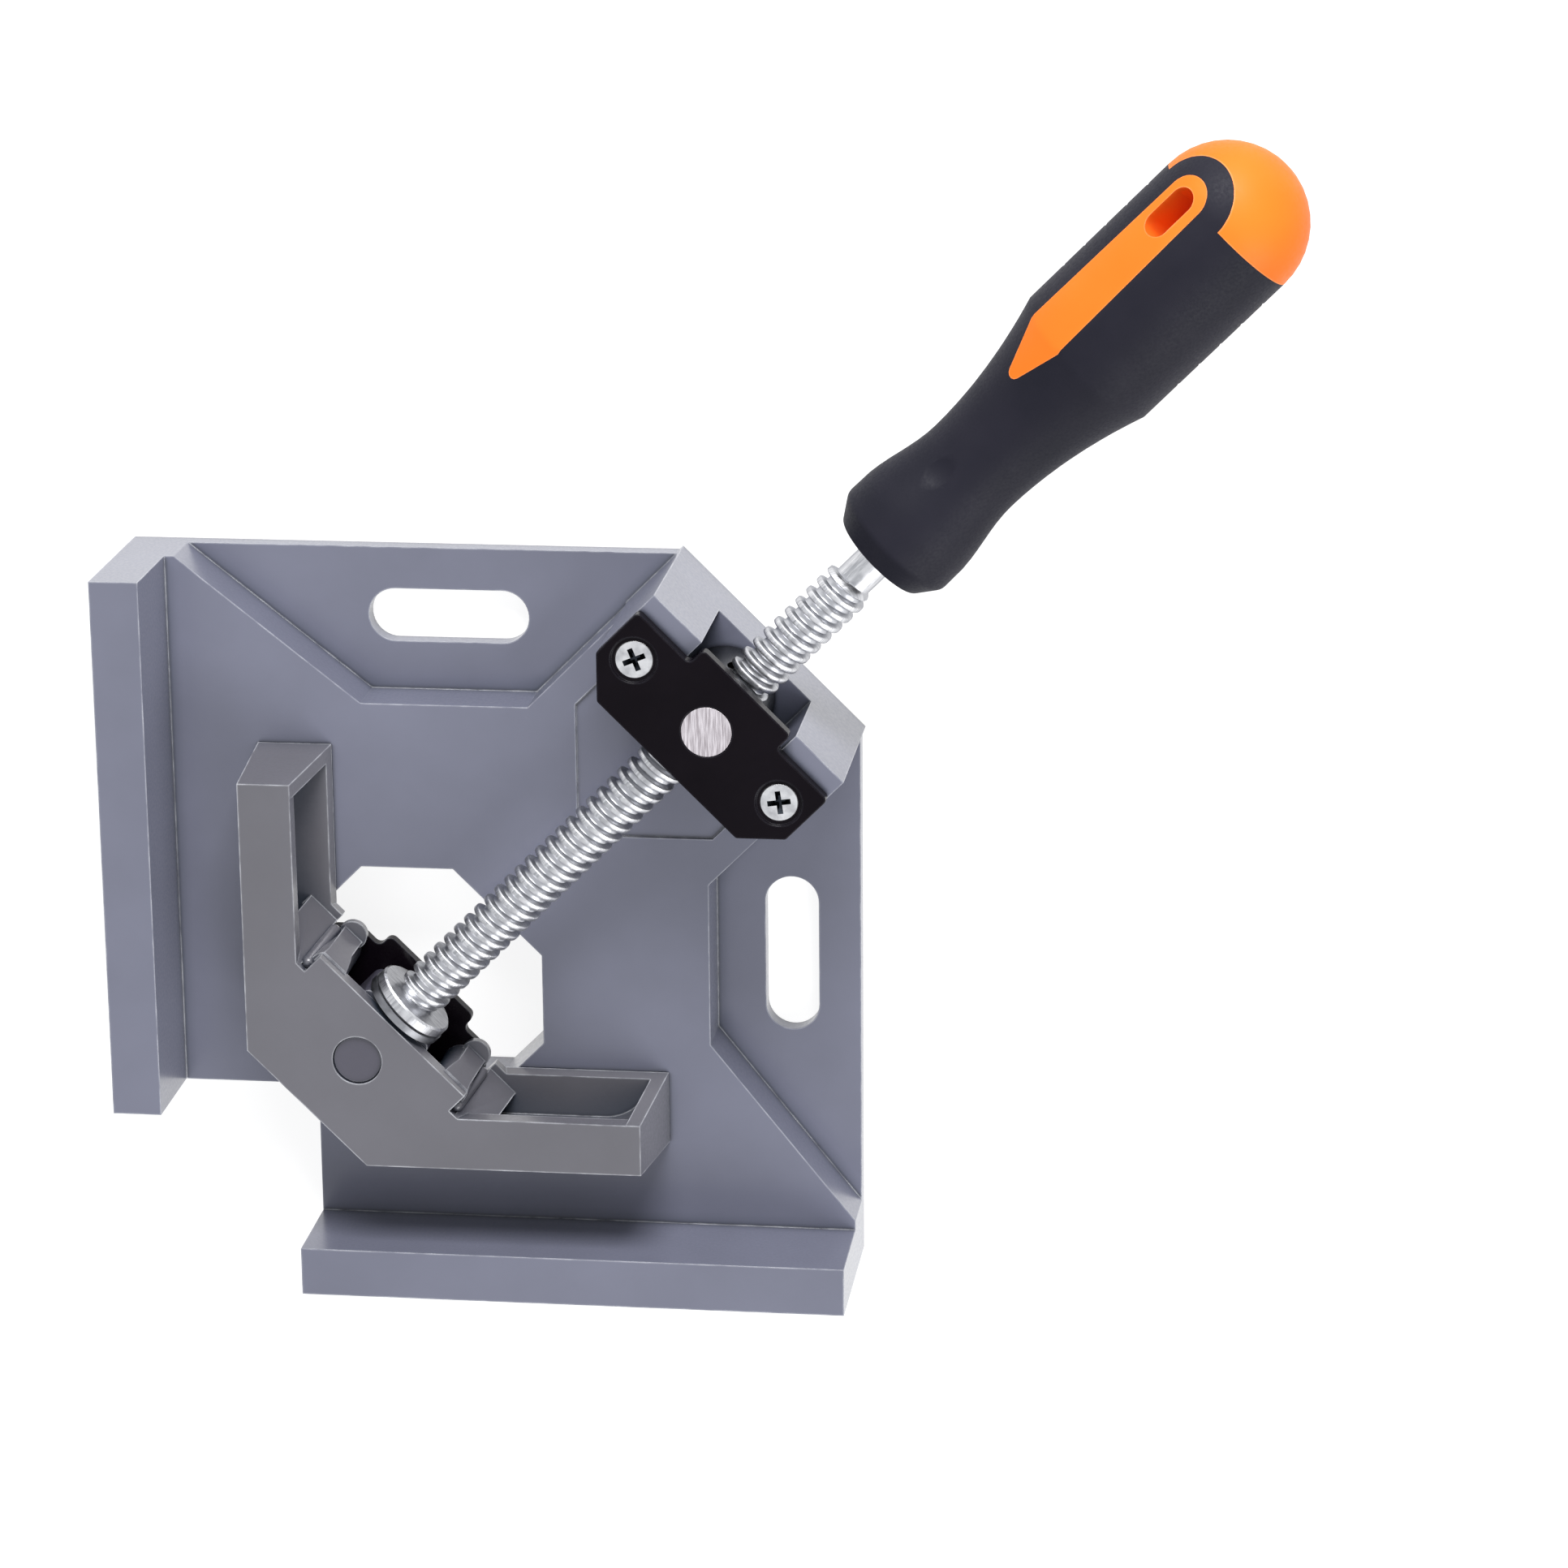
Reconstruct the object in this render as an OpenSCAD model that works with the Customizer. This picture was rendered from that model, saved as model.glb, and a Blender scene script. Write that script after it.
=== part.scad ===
// Single-handle right-angle corner clamp, lying flat on its bench face.
// The origin is on the bench plane under the nut pivot. +X and +Y run along the two fences,
// so the lead screw points along the diagonal between -X and -Y. All lengths are in millimetres.

/* [Base plate] */
// Distance from the nut pivot to each fence face
fence_reach = 114; // [108:1:130]
// Thickness of the two thin flanges
flange_t = 4; // [3:0.5:6]
// Height of the raised platform above the bench
platform_h = 16; // [14:0.5:20]
// Distance from the nut pivot to the platform edge beside each flange
platform_edge = 3.8; // [2:0.2:6]
// Where the platform edge turns away towards the fence, from the nut pivot
platform_turn = 74.6; // [70:0.2:80]
// Width of platform left beside the fence face at the outer edge of the plate
platform_ledge = 2; // [1:0.5:6]
// Size of the open square corner where the two boards meet
corner_relief = 28; // [24:1:32]
// Thickness of the outer walls round the hollow underside
core_wall = 4; // [3:0.5:5]
// Thickness of the platform over the hollow underside
core_roof = 4.5; // [3.5:0.5:6]
// Thickness of the ribs in the hollow underside
rib_t = 3.4; // [2.4:0.2:4]

/* [Fences] */
// Thickness of each fence
fence_t = 10; // [8:0.5:14]
// Height of each fence above the platform
fence_h = 22; // [16:1:30]
// Thickness of the wall behind the fence face
fence_wall = 4; // [3:0.5:6]
// Thickness of the ribs and of the rim round the pockets in the back of a fence
fence_rib = 4; // [3:0.5:6]
// Number of pockets in the back of each fence
fence_pockets = 3; // [2:1:5]

/* [Flange slots] */
// Length of each slot, end to end
slot_l = 33; // [24:0.5:36]
// Width of each slot
slot_w = 11; // [8:0.5:13]
// Distance from the middle of each slot to the outer edge of the plate
slot_inset = 14.2; // [12:0.2:16]
// Distance from the middle of each slot to the nut pivot, along the flange
slot_along = 58.2; // [54:0.2:62]

/* [Window] */
// Distance from the nut pivot to the two window edges next to it
window_near = 38.5; // [36:0.5:42]
// Width of the window
window_w = 46; // [40:1:50]
// Corner cut across the window, on the side of the nut
window_cut = 18; // [12:0.5:20]
// Corner cut at the two ends of the window
window_side_cut = 9; // [6:0.5:12]

/* [Bridge] */
// Height of the two posts above the platform
post_h = 24.5; // [22:0.5:28]
// Width across both posts
bridge_w = 52.4; // [50:0.2:56]
// Width of the channel between the posts
channel_w = 26; // [24:0.5:30]
// Distance from the nut pivot to the outer face of the bridge
bridge_out = 11.5; // [10:0.5:13]
// Distance from the nut pivot to the inner face of the posts
bridge_in = 10.5; // [9:0.5:12]
// How far the lower corners of the bridge stand proud of the plate
bridge_proud = 0.7; // [0.5:0.1:1.5]
// Depth of the shallow recess in front of the bridge
recess_d = 0.6; // [0.3:0.1:1]
// Width of the shallow recess
recess_w = 39; // [34:0.5:42]
// Distance from the nut pivot to the straight edges of the recess
recess_reach = 30.5; // [28:0.5:34]

/* [Nut and cover] */
// Thickness of the black cover plate
cover_t = 3; // [2:0.5:4]
// Corner cut of the cover plate
cover_cut = 6.2; // [4:0.2:8]
// Distance from the nut pivot to the shoulders beside the tab
cover_shoulder = 7.5; // [6:0.5:9]
// Width of the tab over the channel
cover_tab_w = 24; // [20:0.5:26]
// Distance between the two cover screws
cover_pitch = 40; // [36:0.5:42]
// Diameter of the pivot pins of the nut
pivot_d = 10; // [8:0.5:11]
// Diameter of the nut body
nut_d = 20; // [18:0.5:21]
// Depth of the lower pivot pin in the platform
pivot_depth = 7; // [5:0.5:9]

/* [Fasteners] */
// Thread diameter of the cover screws
bolt_d = 4; // [3:0.5:4]
// Head diameter of the cover screws
bolt_head_d = 7.6; // [7:0.2:8]
// Length of a cover screw under its head
bolt_l = 13; // [10:0.5:15]
// Diameter of the dished ring round each nut cover screw
dish_d = 9.2; // [8.6:0.2:10]
// Depth of the dished ring
dish_depth = 0.6; // [0.4:0.1:0.8]

/* [Lead screw] */
// Outside diameter of the screw thread
screw_d = 10.5; // [9:0.5:11.5]
// Distance from the nut pivot to the end of the thread, on the handle side
thread_out = 39; // [34:1:46]
// Diameter of the plain shank
shank_d = 7.6; // [6:0.2:8.4]
// Length of shank held inside the handle
shank_grip_l = 42; // [30:1:50]
// Diameter of the journal that turns in the swivel block
journal_d = 6; // [5:0.5:6.5]
// Diameter of the thrust flange
flange_d = 17.6; // [15:0.2:17.6]
// Thickness of the thrust flange
thrust_t = 2.5; // [2:0.1:3]
// Thickness of the thrust washer
washer_t = 1.5; // [1:0.1:1.8]
// Outside diameter of the retaining ring
ring_d = 8; // [7.4:0.2:8]
// Thickness of the retaining ring
ring_t = 1; // [0.8:0.1:1.2]

/* [Moving jaw] */
// Gap between the jaw and each fence, one board thick
work_gap = 18; // [15:1:24]
// Height of the jaw
jaw_h = 20; // [19:0.5:22]
// Length of each jaw face from the virtual corner
jaw_l = 80.5; // [76:0.5:86]
// Corner cut of the jaw, along each face
jaw_cut = 24; // [20:0.5:26]
// Width of each arm at the front of the jaw
arm_front_w = 10.7; // [10:0.1:12]
// Width of each arm at the back of the jaw
arm_back_w = 15.2; // [13:0.1:17]
// How far the arm ends lean out towards the back
arm_lean = 3; // [1:0.5:4]
// Thickness of the wall behind each jaw face
jaw_wall = 6; // [4:0.5:7]
// Thickness of the front plate of the jaw
jaw_front_t = 3.7; // [3:0.1:4]
// Thickness of the lips at the back of the arms
jaw_lip_t = 2.7; // [2:0.1:4]
// Thickness of the end wall of each arm
arm_end_t = 3; // [2:0.5:4]
// Rounding inside the arm pockets
pocket_round = 9.5; // [6:0.5:10]
// Distance from the jaw pivot to the rear edge of the front plate
jaw_plate_reach = 10.6; // [9:0.1:10.8]
// Width of the straight rear edge of the front plate
jaw_edge_w = 40.8; // [38:0.2:42]
// Distance from the virtual corner of the jaw faces to the jaw pivot, along the diagonal
jaw_pivot_in = 32.1; // [30:0.1:34]
// Distance between the two jaw cover screws
jaw_bolt_pitch = 34.4; // [33:0.2:35]
// Diameter of the two screw bosses
boss_d = 8; // [7:0.5:8.5]
// Width of the flat lug behind each screw boss
lug_w = 4.8; // [4:0.2:6]
// Diameter of the round foot of each lug
lug_foot_d = 6; // [5.6:0.2:7]
// Thickness of the jaw cover plate
jaw_cover_t = 2.2; // [1.6:0.1:2.4]
// Width of the jaw swivel block
block_w = 18; // [16:0.5:20]

/* [Handle] */
// Length of the handle
handle_l = 110; // [100:1:125]
// Distance from the end of the thread to the handle
handle_gap = 7; // [4:1:14]
// Diameter of the barrel
barrel_d = 31.8; // [28:0.2:34]
// Diameter of the flared front end
flare_d = 26.4; // [24:0.2:28]
// Diameter of the narrow neck
neck_d = 21.6; // [20:0.2:23]
// Thickness of the soft grip over the hard core
grip_t = 2.6; // [2:0.1:3.4]
// Width of the inlaid stripe at its shoulder
stripe_w = 10.4; // [8:0.2:12]
// Width of the inlaid stripe at its round end
stripe_end_w = 9.2; // [7.4:0.2:10.4]
// Turn of the stripe about the handle axis, away from straight up
stripe_turn = 41; // [0:1:90]
// Width of the hanging hole
hang_w = 5.4; // [4:0.2:6]
// Length of the hanging hole
hang_l = 11.6; // [9:0.2:12.4]
// Number of notches in each of the two rows along the grip
grip_notches = 5; // [3:1:6]
// Distance from one grip notch to the next
grip_pitch = 5.6; // [4.6:0.2:6]
// Depth of the grip notches
grip_notch_depth = 0.6; // [0.3:0.1:0.9]
// Turn from the middle of a stripe to a row of grip notches
grip_notch_turn = 57; // [45:1:80]

/* [Fits] */
// Radial clearance of turning fits
run_fit = 0.05; // [0.02:0.01:0.08]
// Clearance between faces that slide over each other
slide_gap = 0.3; // [0.2:0.05:0.4]
// Clearance between faces that turn against each other
face_gap = 0.1; // [0.05:0.05:0.2]
// Clearance between fixed parts
seat_gap = 0.05; // [0.02:0.01:0.1]

/* [Hidden] */
$fn = 64;
diag = sqrt(2);
cut_over = 1;
weld = 0.4;
pocket_corner = 3;
bolt_hole_l = bolt_l + 1;
arc_steps = 5;

// Heights
platform_z = platform_h;
recess_z = platform_z - recess_d;
post_z = platform_z + post_h;
axis_z = platform_z + post_h / 2;
fence_z = platform_z + fence_h;
jaw_z0 = platform_z + slide_gap;
jaw_z1 = jaw_z0 + jaw_h;
jaw_cover_z1 = jaw_z0 + jaw_cover_t;
jaw_front_z0 = jaw_z1 - jaw_front_t;

// Places in the plan
plate_out = -fence_reach - fence_t;
relief_at = -fence_reach + corner_relief;
jaw_face = -fence_reach + work_gap;
jaw_end = jaw_face + jaw_l;
jaw_pivot_u = jaw_face * diag + jaw_pivot_in;
jaw_plate_u = jaw_pivot_u + jaw_plate_reach;
jaw_cut_u = (2 * jaw_face + jaw_cut) / diag;
half_bridge = bridge_w / 2;
plate_edge = (bridge_out + half_bridge) / diag - bridge_proud;

// Places along the screw axis, measured from the nut pivot
block_back_u = jaw_plate_u + 1.1;
block_front_u = jaw_pivot_u - 6;
washer_u0 = block_back_u + face_gap;
thrust_u0 = washer_u0 + washer_t + face_gap;
thread_u0 = thrust_u0 + thrust_t;
ring_u1 = block_front_u - face_gap;
screw_tip_u = ring_u1 - ring_t - 1;
handle_u = thread_out + handle_gap;

// Plan point at u along the diagonal and v across it
function at(u, v) = [(u - v) / diag, (u + v) / diag];

// The mirror image of a plan outline over the diagonal, in reverse order
function flipped(points) = [for (i = [len(points) - 1 : -1 : 0]) [points[i].y, points[i].x]];

// An outline that is the same on both sides of the diagonal
function both_sides(points) = concat(points, flipped(points));
function joined(corner, points) = concat([corner], both_sides(points));

// An outline across the diagonal from points in u and v
function across(points) = concat(points, [for (i = [len(points) - 1 : -1 : 0]) [points[i].x, -points[i].y]]);

function unit(a) = a / norm(a);
function turn(a) = a - 360 * round(a / 360);

// Points of an arc that rounds the corner b between a and c
function corner_arc(a, b, c, r) =
  let (p = unit(a - b), q = unit(c - b))
  let (half = acos(p * q) / 2, centre = b + unit(p + q) * r / sin(half))
  let (s = b + p * r / tan(half) - centre, e = b + q * r / tan(half) - centre)
  let (a0 = atan2(s.y, s.x), sweep = turn(atan2(e.y, e.x) - a0))
  [for (i = [0 : arc_steps]) centre + r * [cos(a0 + sweep * i / arc_steps), sin(a0 + sweep * i / arc_steps)]];

// An outline with every corner rounded
function rounded(points, r) =
  let (n = len(points))
  [for (i = [0 : n - 1]) each corner_arc(points[(i + n - 1) % n], points[i], points[(i + 1) % n], r)];

// Puts u along X and v along Y
module on_diagonal() {
  rotate([0, 0, 45]) children();
}

// A clockwise outline moved in by a wall, or out by a negative one
function inset(points, wall) =
  let (n = len(points))
  [for (i = [0 : n - 1])
    let (p = unit(points[i] - points[(i + n - 1) % n]), q = unit(points[(i + 1) % n] - points[i]))
    points[i] + wall * [p.y + q.y, -p.x - q.x] / (1 + p * q)];

// Stands a shape that points up along the screw axis, at u from the nut pivot
module on_axis(u) {
  translate([0, 0, axis_z]) on_diagonal() translate([u, 0, 0]) rotate([0, 90, 0]) children();
}

// A slab of an outline between two heights
module slab(points, z0, z1) {
  translate([0, 0, z0]) linear_extrude(z1 - z0) polygon(points);
}

// The same shape on both sides of the diagonal
module pair() {
  children();
  mirror([1, -1, 0]) children();
}

// Corners of a rectangle, clockwise from its low corner
function rectangle(low, high) = [low, [low.x, high.y], high, [high.x, low.y]];

// An upright hole or post
module upright(place, d, z0, z1) {
  translate([place.x, place.y, z0]) cylinder(d = d, h = z1 - z0);
}

// A rod or bore on the screw axis
module axial(u0, u1, d) {
  on_axis(u0) cylinder(d = d, h = u1 - u0);
}

// Base casting

flange_outline = joined([relief_at, relief_at], [
    [plate_out, relief_at],
    [plate_out, plate_edge],
    [plate_edge - (half_bridge - weld) * diag, plate_edge]
  ]);

platform_outline = joined([relief_at, relief_at], [
    [plate_out, relief_at],
    [plate_out, plate_edge],
    [-fence_reach + platform_ledge, plate_edge],
    [-platform_turn, -platform_edge],
    [-platform_edge - (half_bridge - weld) * diag, -platform_edge],
    at(0, half_bridge - weld)
  ]);

fence_outline = [
  [plate_out, relief_at],
  [plate_out, plate_edge],
  [-fence_reach, plate_edge],
  [-fence_reach, relief_at]
];

window_outline = let (n = -window_near, f = -window_near - window_w, s = window_side_cut, c = window_cut)
  both_sides([
    [f, f + c],
    [f, n - s],
    [f + s, n],
    [n - c, n]
  ]);

recess_outline = let (half = recess_w / 2)
  concat([[-recess_reach * diag, 0]], across([
    [half - recess_reach * diag, half],
    [weld - bridge_in, half],
    [weld - bridge_in, channel_w / 2 + weld],
    [bridge_out + cut_over, channel_w / 2 + weld]
  ]));

channel_floor = across([[weld - bridge_in, channel_w / 2 + weld], [bridge_out, channel_w / 2 + weld]]);

post_outline = [
  [bridge_out, channel_w / 2],
  [bridge_out, half_bridge],
  [cover_cut - bridge_in, half_bridge],
  [-bridge_in, half_bridge - cover_cut],
  [-bridge_in, channel_w / 2]
];

// The ribs under one half of the platform and the rib along the diagonal
module core_ribs(z0, z1) {
  mid_y = -window_near - window_w / 2;
  end_y = -window_near + window_side_cut + rib_t;
  side_x = -window_near - window_w + window_side_cut;
  slab(rectangle([plate_out, mid_y], [relief_at, mid_y + rib_t]), z0, z1);
  slab(rectangle([plate_out, end_y], [side_x, end_y + rib_t]), z0, z1);
  slab(rectangle([side_x, -window_near], [side_x + rib_t, 0]), z0, z1);
  on_diagonal() slab(across([[plate_out * diag, rib_t / 2], [0, rib_t / 2]]), z0, z1);
}

// The hollow under the platform, open at the bench face
module platform_core() {
  z0 = -cut_over;
  z1 = platform_z - core_roof;
  difference() {
    slab(inset(platform_outline, core_wall), z0, z1);
    slab(inset(window_outline, -core_wall), z0 - cut_over, z1 + cut_over);
    on_diagonal() slab(across([[-bridge_in - core_wall, half_bridge + core_wall],
      [bridge_out, half_bridge + core_wall]]), z0 - cut_over, z1 + cut_over);
    pair() core_ribs(z0 - cut_over, z1 + cut_over);
  }
}

// The hollow in the foot of one post
module post_core() {
  on_diagonal() slab(inset(post_outline, -core_wall), -cut_over, post_z - bolt_hole_l - core_roof);
}

// The row of pockets in the back of one fence
module fence_backs() {
  rim_l = plate_edge - relief_at - fence_rib;
  step = rim_l / fence_pockets;
  z0 = platform_z;
  for (i = [0 : fence_pockets - 1])
    translate([plate_out - cut_over, relief_at + fence_rib + i * step, z0]) rotate([90, 0, 90])
      linear_extrude(fence_t - fence_wall + cut_over)
        round_rect(step - fence_rib, fence_z - fence_rib - z0, pocket_corner);
}

// A rectangle with round corners, from its lower left corner
module round_rect(l, h, r) {
  for (x = [r, l - r], y = [r, h - r])
    translate([x, y]) circle(r);
  translate([r, 0]) square([l - 2 * r, h]);
  translate([0, r]) square([l, h - 2 * r]);
}

module slot_outline() {
  for (side = [-1, 1])
    translate([side * (slot_l - slot_w) / 2, 0]) circle(d = slot_w);
  square([slot_l - slot_w, slot_w], center = true);
}

module base_casting() {
  color("slategray")
  difference() {
    union() {
      slab(flange_outline, 0, flange_t);
      difference() {
        slab(platform_outline, 0, platform_z);
        on_diagonal() slab(recess_outline, recess_z, platform_z + cut_over);
      }
      pair() slab(fence_outline, 0, fence_z);
      on_diagonal() {
        slab(channel_floor, 0, recess_z);
        for (side = [0, 1]) mirror([0, side, 0]) slab(post_outline, 0, post_z);
      }
    }
    slab(window_outline, -cut_over, platform_z + cut_over);
    pair() translate([-slot_along, plate_edge - slot_inset, -cut_over])
      linear_extrude(flange_t + 2 * cut_over) slot_outline();
    platform_core();
    pair() {
      post_core();
      fence_backs();
    }
    upright([0, 0], pivot_d + 2 * run_fit, recess_z - pivot_depth - seat_gap, platform_z);
    for (side = [-1, 1])
      upright(at(0, side * cover_pitch / 2), bolt_d + 2 * seat_gap, post_z - bolt_hole_l, post_z + cut_over);
  }
}

// Nut, its cover plate and screws

cover_over = 0.8;
cover_outline = across([
    [bridge_out, cover_tab_w / 2],
    [cover_shoulder, cover_tab_w / 2],
    [cover_shoulder, half_bridge],
    [cover_cut - bridge_in, half_bridge],
    [-bridge_in - cover_over, half_bridge - cover_cut - cover_over]
  ]);
bolt_cone_h = (bolt_head_d - bolt_d) / 2;
bolt_top_z = post_z + cover_t - dish_depth;

module nut_cover_plate() {
  color([0.07, 0.07, 0.08])
  difference() {
    on_diagonal() slab(rounded(cover_outline, 1), post_z, post_z + cover_t);
    upright([0, 0], pivot_d + 2 * run_fit, post_z - cut_over, post_z + cover_t + cut_over);
    for (side = [-1, 1]) {
      place = at(0, side * cover_pitch / 2);
      upright(place, dish_d, bolt_top_z - seat_gap, post_z + cover_t + cut_over);
      translate([place.x, place.y, 0]) bolt(bolt_top_z, 2 * seat_gap);
    }
  }
}

// A countersunk screw whose head ends at z1, or the hole for it, grown by a clearance and open at the top
module bolt(z1, grow) {
  translate([0, 0, z1 - bolt_cone_h - bolt_l]) cylinder(d = bolt_d + grow, h = bolt_l + bolt_cone_h);
  translate([0, 0, z1 - bolt_cone_h]) cylinder(d1 = bolt_d + grow, d2 = bolt_head_d + grow, h = bolt_cone_h);
  if (grow > 0)
    translate([0, 0, z1 - seat_gap]) cylinder(d = bolt_head_d + grow, h = cut_over);
}

module nut_cover_screw(side) {
  place = at(0, side * cover_pitch / 2);
  color("gainsboro") translate([place.x, place.y, 0]) bolt(bolt_top_z, 0);
}

module nut_cover_screw_left() {
  nut_cover_screw(1);
}

module nut_cover_screw_right() {
  nut_cover_screw(-1);
}

module swivel_nut() {
  color("silver")
  difference() {
    union() {
      upright([0, 0], nut_d, recess_z + slide_gap, post_z - slide_gap);
      upright([0, 0], pivot_d, recess_z - pivot_depth, post_z + cover_t);
    }
    axial(-nut_d, nut_d, screw_d + 2 * run_fit);
  }
}

// Lead screw and what it carries

washer_over = 0.4;

module lead_screw() {
  color("lightgray") {
    axial(screw_tip_u, thrust_u0 + face_gap, journal_d);
    axial(thrust_u0, thread_u0, flange_d);
    axial(thread_u0 - face_gap, thread_out, screw_d);
    axial(thread_out - face_gap, handle_u + shank_grip_l, shank_d);
  }
}

module thrust_washer() {
  color("lightgray")
  difference() {
    axial(washer_u0, washer_u0 + washer_t, flange_d + washer_over);
    axial(washer_u0 - cut_over, washer_u0 + washer_t + cut_over, journal_d + 2 * seat_gap);
  }
}

module retaining_ring() {
  color("dimgray")
  difference() {
    axial(ring_u1 - ring_t, ring_u1, ring_d);
    axial(ring_u1 - ring_t - cut_over, ring_u1 + cut_over, journal_d + 2 * seat_gap);
  }
}

// Handle

barrel_r = barrel_d / 2;
arch_from = 0.6 * barrel_r;
flare_at = 8;
neck_at = 26;
barrel_at = 57;
cap_at = handle_l - barrel_r;
front_in = 3.1;
front_l = 4.6;
front_edge_r = 1;
front_round = 2.5;
swell = 1.9;
dome_sweep = 87;
stripe_end = cap_at - 0.4;
stripe_at = barrel_at - 1;
stripe_point = stripe_at - 13.4;
stripe_tip_r = 1.6;
arch_r = stripe_end_w / 2 + 4.6;
hang_at = stripe_end - 4;
grip_notch_slope = 1.6;
dent_at = neck_at - 2.5;
dent_turn = 25;
dent_r = 9;
dent_depth = 0.4;

function between(a, b, t) = a + (b - a) * t;
function eased(a, b, t) = between(a, b, (1 - cos(180 * t)) / 2);

// Half outline of the chamfered front of the handle, set in by a wall
function handle_front(wall) =
  let (middle = [0, wall], flare_r = flare_d / 2 - wall)
  let (rim = [flare_r - front_in + wall / 2, wall], edge = [flare_r, wall / 2 + front_l])
  concat(
    [middle],
    corner_arc(middle, rim, edge, front_edge_r),
    corner_arc(rim, edge, [flare_r, flare_at], front_round)
  );

// Half outline of the handle from its front to its domed end, set in by a wall
function handle_profile(wall) = concat(
  handle_front(wall),
  [for (i = [1 : 8]) [eased(flare_d / 2, neck_d / 2, i / 8) - wall, between(flare_at, neck_at, i / 8)]],
  [for (i = [1 : 10]) let (t = i / 10)
    [between(neck_d, barrel_d, pow(t, swell)) / 2 - wall, between(neck_at, barrel_at, t)]],
  [for (i = [0 : 10]) let (t = dome_sweep * i / 10)
    [(barrel_r - wall) * cos(t), cap_at + (barrel_r - wall) * sin(t)]],
  [[0, cap_at + (barrel_r - wall) * sin(dome_sweep)]]
);

module handle_body(wall) {
  rotate_extrude($fn = 96) polygon(handle_profile(wall));
}

// A prism on each side of the handle, seen square on to the stripe
module on_both_faces(from) {
  for (face = [0, 180])
    rotate([0, 0, face - stripe_turn]) rotate([0, -90, 0]) translate([0, 0, from])
      linear_extrude(barrel_d - from) children();
}

// The stripe seen square on: a round tip, a shoulder, a slow taper and a round end
module stripe_shape(grow) {
  half = stripe_w / 2 + grow;
  end_half = stripe_end_w / 2 + grow;
  left = [stripe_at, half];
  right = [stripe_at, -half];
  tip = corner_arc(left, [stripe_point - 2 * grow, 0], right, stripe_tip_r + grow);
  polygon(concat([[stripe_end, end_half], left], tip, [right, [stripe_end, -end_half]]));
  translate([stripe_end, 0]) circle(r = end_half);
}

module arch_shape(grow) {
  translate([stripe_end, 0]) circle(r = arch_r + grow);
}

// A row of small notches on each side of the grip, and the round dent near its front
module grip_marks() {
  half_w = grip_notch_slope * grip_notch_depth;
  for (side = [180, 360], i = [1 : grip_notches])
    rotate([0, 0, side - stripe_turn - grip_notch_turn]) translate([barrel_r, 0, cap_at - i * grip_pitch])
      rotate([90, 0, 0]) translate([0, 0, -barrel_r]) linear_extrude(barrel_d)
        polygon([[-grip_notch_depth, 0], [grip_notch_depth, -half_w], [grip_notch_depth, half_w]]);
  rotate([0, 0, 180 - dent_turn]) translate([neck_d / 2 + dent_r - dent_depth, 0, dent_at])
    sphere(r = dent_r);
}

module hang_hole() {
  rotate([0, 0, -stripe_turn]) rotate([0, -90, 0]) translate([0, 0, -barrel_d]) linear_extrude(2 * barrel_d) {
    for (side = [-1, 1])
      translate([hang_at + side * (hang_l - hang_w) / 2, 0]) circle(d = hang_w);
    translate([hang_at, 0]) square([hang_l - hang_w, hang_w], center = true);
  }
}

module shank_bore() {
  translate([0, 0, -cut_over]) cylinder(d = shank_d + 2 * seat_gap, h = shank_grip_l + cut_over + face_gap);
}

module past_cap() {
  translate([0, 0, cap_at]) cylinder(d = 2 * barrel_d, h = handle_l);
}

module handle_core() {
  color("darkorange") on_axis(handle_u)
  difference() {
    union() {
      handle_body(grip_t);
      intersection() {
        handle_body(0);
        difference() {
          past_cap();
          on_both_faces(0) arch_shape(0);
        }
      }
      intersection() {
        handle_body(0);
        on_both_faces(0) stripe_shape(0);
      }
    }
    hang_hole();
    shank_bore();
  }
}

module handle_grip() {
  color([0.1, 0.1, 0.12]) on_axis(handle_u)
  difference() {
    intersection() {
      handle_body(0);
      union() {
        translate([0, 0, -cut_over]) cylinder(d = 2 * barrel_d, h = cap_at + cut_over - seat_gap);
        on_both_faces(arch_from) arch_shape(-seat_gap);
      }
    }
    handle_body(grip_t - seat_gap);
    on_both_faces(0) stripe_shape(seat_gap);
    grip_marks();
    shank_bore();
  }
}

// Moving jaw

block_gap = 0.2;
block_z0 = jaw_cover_z1 + block_gap;
block_z1 = jaw_front_z0 - block_gap;
block_round = 2;
pin_sink = 0.6;
boss_u = jaw_pivot_u + 8.4;
boss_v = jaw_bolt_pitch / 2;
bolt_hole_z1 = jaw_z0 + bolt_l + bolt_cone_h + seat_gap;
lug_v = boss_v + 0.4;
lug_z0 = jaw_cover_z1 + seat_gap;
lug_foot_u = jaw_plate_u + 1.9;
lug_foot_t = 1.6;
lug_lean = 2.8;
jaw_cut_wall = 5;
notch_u = jaw_plate_u - 4.6;
notch_w = 1.66;
arm_l = 45;
arm_root_u = jaw_plate_u + 1;
pocket_l = 50;
gusset_foot_in = 1.5;
gusset_t = 2.5;
gusset_u = jaw_plate_u + 1.5;
gusset_lip = 1.6;
gusset_v0 = boss_v + 4.7;
gusset_v1 = gusset_v0 + 7.4;

block_outline = across([[block_back_u, block_w / 2], [block_front_u, block_w / 2]]);

module jaw_swivel_block() {
  color("slategray")
  difference() {
    union() {
      on_diagonal() slab(rounded(block_outline, block_round), block_z0, block_z1);
      upright(at(jaw_pivot_u, 0), pivot_d, jaw_z0 + pin_sink, jaw_z1 - pin_sink);
    }
    axial(block_front_u - cut_over, block_back_u + cut_over, journal_d + 2 * run_fit);
  }
}

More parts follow.
